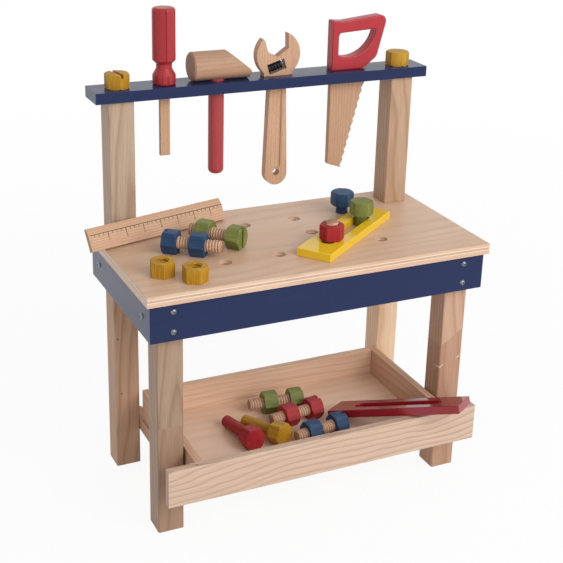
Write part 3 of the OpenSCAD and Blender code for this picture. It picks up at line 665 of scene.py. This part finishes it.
def dress_frame(weld):
    """Legs, posts and runners: each bar cut from another part of the tree, with painted light and shade
    in some bars' tones.
    """
    knot_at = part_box("leg_rear_left")[0]
    near_left, near_right = (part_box("leg_front_" + side)[0] for side in ("left", "right"))
    chips = ((34 * MM, 0.0, 9 * MM, 16 * MM, 1.7 * MM), (42 * MM, 30 * MM, 4 * MM, 60 * MM, 1.2 * MM))
    # the front legs are darker below a line across them, the right one with pale slivers along it
    tone_steps = {
        "leg_front_left": ToneStep(near_left, 0.158, 0.0, Vector((0.3, 0.005, 0.003)), 0.1, ()),
        "leg_front_right": ToneStep(near_right, 0.199, 0.68, Vector((0.3, 0.016, 0.011)), 0.22, chips),
    }
    knots = {"leg_rear_left": ((knot_at + Vector((5, 0, 205)) * MM, 1.5 * MM),
                               (knot_at + Vector((9, 0, 118)) * MM, 1.3 * MM))}
    # tones, partly painted light and shade, the pith's place from the bar's middle, and the side to
    # which the bar leans
    bars = {
        # the front left leg's dark tones are partly painted shade for its shaded left face
        "leg_front_left": (("a68c76", "806246", "a07a62"), Vector((13, 30, 0)), 1),
        "leg_front_right": (("c29e86", "9b7153", "ba886b"), Vector((-24, 44, 0)), -1),
        "leg_rear_left": (("bf9c80", "92694a", "b07f5e"), Vector((20, 37, 0)), 1),
        # the rear right leg's very pale tones are painted light, lifting it out of the shade under the
        # worktop
        "leg_rear_right": (("f2d3b4", "cda179", "eabf9c"), Vector((-15, 52, 0)), -1),
        # the left post's tones are partly painted shade for its shaded left face
        "post_left": (("b8a089", "8e6f54", "b28c73"), Vector((16, 40, 0)), 1),
        "post_right": (("ba9a80", "906b4b", "b38766"), Vector((-26, 58, 0)), -1),
    }
    for node, (tones, offset, side) in bars.items():
        lean = Vector((0.02 * side, 0.03, 1)).normalized()
        material = pine("pine_" + node, lean, middle(node) + offset * MM, tones,
                        tone_step=tone_steps.get(node), knots=knots.get(node, ()))
        dress(node, material, WOOD_EDGE, weld)
    for node in ("tray_runner_left", "tray_runner_right"):
        dress(node, pine("pine_" + node, Y, middle(node) + 40 * MM * X), WOOD_EDGE, weld)


def dress_paint(weld):
    """The navy aprons and tool rail."""
    for node, axis in (("apron_front", X), ("apron_rear", X), ("apron_left", Y), ("apron_right", Y),
                       ("tool_rail", X)):
        material = paint("navy_" + node, axis, middle(node), "1f2a50", "182140", roughness=0.2,
                         level=0.22)
        dress(node, material, PAINT_EDGE, weld)


def dress_boards(weld):
    """The ply worktop and tray bottom, and the tray's four pine boards."""
    pith = middle("worktop") + Vector((0, 30 * MM, -110 * MM))
    lean = Vector((1, 0.05, 0.02)).normalized()
    top = ply("ply_worktop", lean, Y, "worktop", pith, ("d8b99e", "b58d71", "cda486"),
              ((0.43, 0.045), (0.71, 0.045)))
    dress("worktop", top, WOOD_EDGE, weld)
    pith = middle("tray_bottom") + Vector((0, -30 * MM, -80 * MM))
    # the tray bottom's pale tones are partly the ply's own and partly painted light for the tray's dim
    # inside
    bottom = ply("ply_tray", X, Y, "tray_bottom", pith, ("f0d2b9", "d6b094", "e8c7ab"), ((0.5, 0.08),))
    dress("tray_bottom", bottom, VENEER_EDGE, weld)
    low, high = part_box("tray_front")
    # a small dark spot on the front board's top edge, drawn with the knot pattern
    dark_spot = Vector((low.x + 41 * MM, low.y + 4 * MM, high.z))
    bold = {"ring": 8.5, "wander": 32.0, "contrast": 0.8, "knots": ((dark_spot, 1.5 * MM),),
            "reach": (7.0, 16.0, 16.0)}
    calm = {"ring": 8.5, "wander": 20.0, "contrast": 0.5, "reach": (4.0, 18.0, 18.0)}
    side_tones = ("d8b194", "b08564", "cc9f82")
    boards = {
        "tray_front": (Vector((1, 0, 0.05)), Vector((0, -24, 62)), ("d4baa5", "9c8069", "c9a78f"), bold),
        "tray_rear": (Vector((1, 0, -0.03)), Vector((0, 45, -70)), ("e6c4a9", "bf9678", "deb394"), calm),
        "tray_left": (Y, Vector((-50, 0, -60)), side_tones, calm),
        "tray_right": (Y, Vector((50, 0, -60)), side_tones, calm),
    }
    for node, (lean, offset, tones, figure) in boards.items():
        pith = middle(node) + offset * MM
        dress(node, pine("pine_" + node, lean.normalized(), pith, tones, **figure), WOOD_EDGE, weld)


# body, deep and light tone of each stain
TONES = {
    "red_stain": ("a62229", "84181e", "bc4246"),
    "ochre_stain": ("b8881f", "966915", "d6ab42"),
    "green_stain": ("777f3a", "555f2c", "949653"),
    "blue_stain": ("274669", "1a2e4a", "446589"),
}


def dress_hex(weld):
    """Bolt heads, nuts and pegs, their grain along their own axis."""
    sets = {"rail_bolt": Z, "red_bolt": Z, "red_nut": Z, "yellow_nut_left": Z, "yellow_nut_right": Z,
            "rail_peg": Z, "green_peg": Z, "blue_peg": Z}
    for joint in frame["joints"]:
        if joint["name"].endswith("_nut_travel"):
            axis = Vector(joint["axis"])
            sets[joint["child"]] = axis
            sets[joint["parent"]] = axis
    for node in ("tray_red_peg", "tray_yellow_peg"):
        sets[node] = long_axis(node)
    bodies = frame["record"]["behaviour"]["bodies"]
    pith_off = Vector((11, 7, 9)) * MM
    for body, axis in sets.items():
        for node in bodies[body]:
            if node.endswith("_shaft"):
                thread_shaft(node)
                continue
            slot = slot_of(node)
            if slot == "red_paint":
                slot = "red_stain"
            material = stain(slot + "_" + node, axis, middle(node) + pith_off, *TONES[slot])
            dress(node, material, HEX_EDGE, weld)
            if node in ("yellow_nut_left", "yellow_nut_right"):
                nut_thread(node, material)


def dress_grip(weld):
    """The saw's grip, routed soft all round: its solid is cut fine, then smoothed at the edges."""
    node = "saw_handle"
    grip = finish_with(node, paint("red_grip", Z, middle(node), "ad2f35", "8b252b", roughness=0.3))
    join = grip.modifiers.new("join", "NODES")
    join.node_group = weld
    fine = grip.modifiers.new("fine", "REMESH")
    fine.mode = "VOXEL"
    fine.voxel_size = 0.7 * MM
    fine.use_smooth_shade = True
    soft = grip.modifiers.new("soft", "SMOOTH")
    soft.factor = 0.5
    soft.iterations = 22


def dress_tools(weld):
    """The tools, the ruler, the strips and the steel: grain, edge width in millimetres and tones."""
    plain = (("hammer_head", X, 1.0, "b08e74", "8c6a50"),
             ("screwdriver_blade", Z, 0.6, "c29c7d", "9c7454"),
             ("wrench_body", Z, 0.9, "c8a285", "a17757"),
             ("saw_blade", Z, 0.8, "bb967a", "96704f"),
             ("ruler", long_axis("ruler"), 0.4, "cfa98b", "a67c5c"))
    pith_off = Vector((25, 18, 22)) * MM
    for node, axis, width, pale, dark in plain:
        pith = middle(node) + pith_off
        dress(node, beech("beech_" + node, axis, pith, pale, dark), width * MM, weld)
    for node, width, body, deep in (("screwdriver_handle", 0.6, "a62e33", "83242a"),
                                    ("hammer_handle", 0.5, "aa4143", "8c3335")):
        material = paint("red_" + node, Z, middle(node), body, deep, roughness=0.32)
        dress(node, material, width * MM, weld)
    dress_grip(weld)
    strips = (("yellow_strip", "e8c021", "d4a614"), ("tray_red_strip", "921c27", "70131d"))
    for node, body, deep in strips:
        material = paint(node + "_paint", long_axis(node), middle(node), body, deep,
                         roughness=0.16, level=0.5)
        dress(node, material, STRIP_EDGE, weld)
    worm_screw()
    for node in ("wrench_pin", "frame_screws"):
        dress(node, metal("steel_" + node), METAL_EDGE, weld)


# ---------------------------------------------------------------- the ruler's print


def ruler_frame():
    """The ruler's directions along, up and out of its printed face, and that face's points."""
    back = max(NODES["ruler"].data.polygons, key=lambda p: p.area)
    out = -back.normal.copy()
    if out.y > 0:
        out = -out
    along = long_axis("ruler")
    if along.x < 0:
        along = -along
    up = out.cross(along).normalized()
    if up.z < 0:
        up = -up
    points = points_of("ruler")
    face = max(p.dot(out) for p in points)
    return along, up, out, [p for p in points if abs(p.dot(out) - face) < IN_PLANE]


def ruler_print():
    """The scale line, its ticks at quarter units, and plain numbers under the unit ticks."""
    along, up, out, front = ruler_frame()
    start, end = span(front, along)
    high = span(front, up)[1]
    face = front[0].dot(out)
    unit, raised, line_width = 28 * MM, 0.05 * MM, 0.9 * MM
    margin, gap = 2 * MM, 0.5 * MM
    # half width and length of a tick, and how far below the line a number stands
    whole_tick, quarter_tick, number_drop = (0.5 * MM, 7.5 * MM), (0.4 * MM, 3.8 * MM), 12.4 * MM
    bm = bmesh.new()

    def bar(left, right, bottom, top):
        """A thin flat bar, between two places along the ruler and two up its face."""
        corners = [(left, bottom), (right, bottom), (right, top), (left, top)]
        rims = []
        for depth in (-raised, raised):
            rims.append([bm.verts.new(along * a + up * b + out * (face + depth)) for a, b in corners])
        bm.faces.new(rims[1])
        bm.faces.new(reversed(rims[0]))
        ring_faces(bm, rims[0], rims[1])

    line = high - gap
    bar(start + margin, end - gap, line - line_width, line)
    quarters = int((end - start - margin) / (unit / 4))
    for i in range(1, quarters + 1):
        at = start + margin + i * unit / 4
        whole = i % 4 == 0
        half, length = whole_tick if whole else quarter_tick
        bar(at - half, at + half, line - length, line)
        if whole:
            place_digit(bm, str(i // 4), at, line - number_drop, (along, up, out), face)
    print_piece = new_piece("ruler_print", bm, ink("ruler_ink"))
    for polygon in print_piece.data.polygons:
        polygon.use_smooth = False
    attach(print_piece, "ruler")


def place_digit(bm, text, at, bottom, axes, face):
    """Adds one plain number, its middle over the tick at that place."""
    along, up, out = axes
    curve = bpy.data.curves.new("digit", "FONT")
    curve.body = text
    curve.size = 6.0 * MM
    curve.extrude = 0.04 * MM
    curve.align_x = "CENTER"
    holder = bpy.data.objects.new("digit", curve)
    bpy.context.scene.collection.objects.link(holder)
    graph = bpy.context.evaluated_depsgraph_get()
    mesh = bpy.data.meshes.new_from_object(holder.evaluated_get(graph))
    turn = Matrix((along, up, out)).transposed().to_4x4()
    mesh.transform(Matrix.Translation(along * at + up * bottom + out * face) @ turn)
    bm.from_mesh(mesh)
    bpy.data.objects.remove(holder)
    bpy.data.curves.remove(curve)
    bpy.data.meshes.remove(mesh)


# ---------------------------------------------------------------- camera, floor and light


def make_camera():
    """The camera at the photograph's viewing angle."""
    place = (-0.6801, -1.4016, 0.9551)
    yaw, pitch, roll = 0.4460, 0.3581, 0.0275
    level, drop = math.cos(pitch), -math.sin(pitch)
    forward = Vector((math.sin(yaw) * level, math.cos(yaw) * level, drop))
    right = Vector((math.cos(yaw), -math.sin(yaw), 0))
    up = right.cross(forward)
    tilted_right = math.cos(roll) * right + math.sin(roll) * up
    tilted_up = math.cos(roll) * up - math.sin(roll) * right
    data = bpy.data.cameras.new("camera")
    data.lens = 76.65
    data.sensor_width = 36.0
    data.shift_y = -0.1
    data.clip_end = 60.0
    camera = bpy.data.objects.new("camera", data)
    bpy.context.scene.collection.objects.link(camera)
    turn = Matrix((tilted_right, tilted_up, -forward)).transposed().to_4x4()
    camera.matrix_world = Matrix.Translation(place) @ turn
    bpy.context.scene.camera = camera


def make_floor():
    """A plain pale floor, which the camera sees as white but for the object's faint shadow."""
    reach = 30.0
    bm = bmesh.new()
    bmesh.ops.create_grid(bm, x_segments=1, y_segments=1, size=reach)
    shader = Shader("floor")
    grain = shader.noise(shader.place(), scale=60.0)
    shader.base(shader.mix(grain, colour("ececec"), colour("f2f2f2")))
    shader.finish(0.9, level=0.1)
    white = shader.add("ShaderNodeEmission", {"Color": (1, 1, 1, 1), "Strength": 1.0})
    near_object = shader.span(shader.vector("LENGTH", shader.place()), 0.6, 2.2, 0.92, 1.0)
    share = shader.math("MULTIPLY", shader.seen(), near_object)
    shown = shader.either(share, shader.surface.outputs["BSDF"], white.outputs[0])
    shader.feed(shader.output.inputs["Surface"], shown)
    floor = new_piece("floor", bm, shader.material)


def area_light(name, place, aim, size, power, tint=(1.0, 1.0, 1.0)):
    """A square soft light, in metres and watts."""
    data = bpy.data.lights.new(name, "AREA")
    data.shape = "SQUARE"
    data.size = size
    data.energy = power
    data.color = tint
    lamp = bpy.data.objects.new(name, data)
    bpy.context.scene.collection.objects.link(lamp)
    place = Vector(place)
    lamp.matrix_world = Matrix.Translation(place) @ (
        Vector(aim) - place).to_track_quat("-Z", "Y").to_matrix().to_4x4()


def make_lights():
    """A soft key from the front right, with two weaker lights that reach into the tray."""
    aim = (0.0, 0.0, 0.3)
    area_light("key", (1.4, -2.35, 1.95), aim, 1.5, 33.0, (1.0, 0.985, 0.97))
    area_light("top_front", (0.2, -1.8, 1.9), aim, 1.2, 6.0)
    area_light("front", (0.5, -2.7, 1.4), aim, 1.6, 17.0)


def make_world():
    """The studio round the object: white where it is looked at, and a graded soft light."""
    world = bpy.data.worlds.new("studio")
    world.use_nodes = True
    studio = Nodes(world.node_tree)
    around = studio.add("ShaderNodeTexCoord").outputs["Generated"]
    apart = studio.add("ShaderNodeSeparateXYZ", {0: around}).outputs
    # the walls give more than the ceiling, and the left wall stands further off
    walls = studio.span(apart["Z"], 0.0, 0.7, 1.05, 0.6)
    left_wall = studio.span(apart["X"], -1.0, 0.0, 0.84, 1.0)
    strength = studio.math("MULTIPLY", walls, left_wall)
    fill = studio.add("ShaderNodeBackground", {"Color": (0.96, 0.98, 1.0, 1.0), "Strength": strength})
    white = studio.add("ShaderNodeBackground", {"Color": (1.0, 1.0, 1.0, 1.0)})
    shown = studio.either(studio.seen(), fill.outputs[0], white.outputs[0])
    studio.add("ShaderNodeOutputWorld", {"Surface": shown})
    bpy.context.scene.world = world
    bpy.context.scene.view_settings.view_transform = "Standard"


# ---------------------------------------------------------------- the scene

make_camera()
make_floor()
make_lights()
make_world()
WELD = weld_group()
dress_frame(WELD)
dress_paint(WELD)
dress_boards(WELD)
dress_hex(WELD)
dress_tools(WELD)
ruler_print()
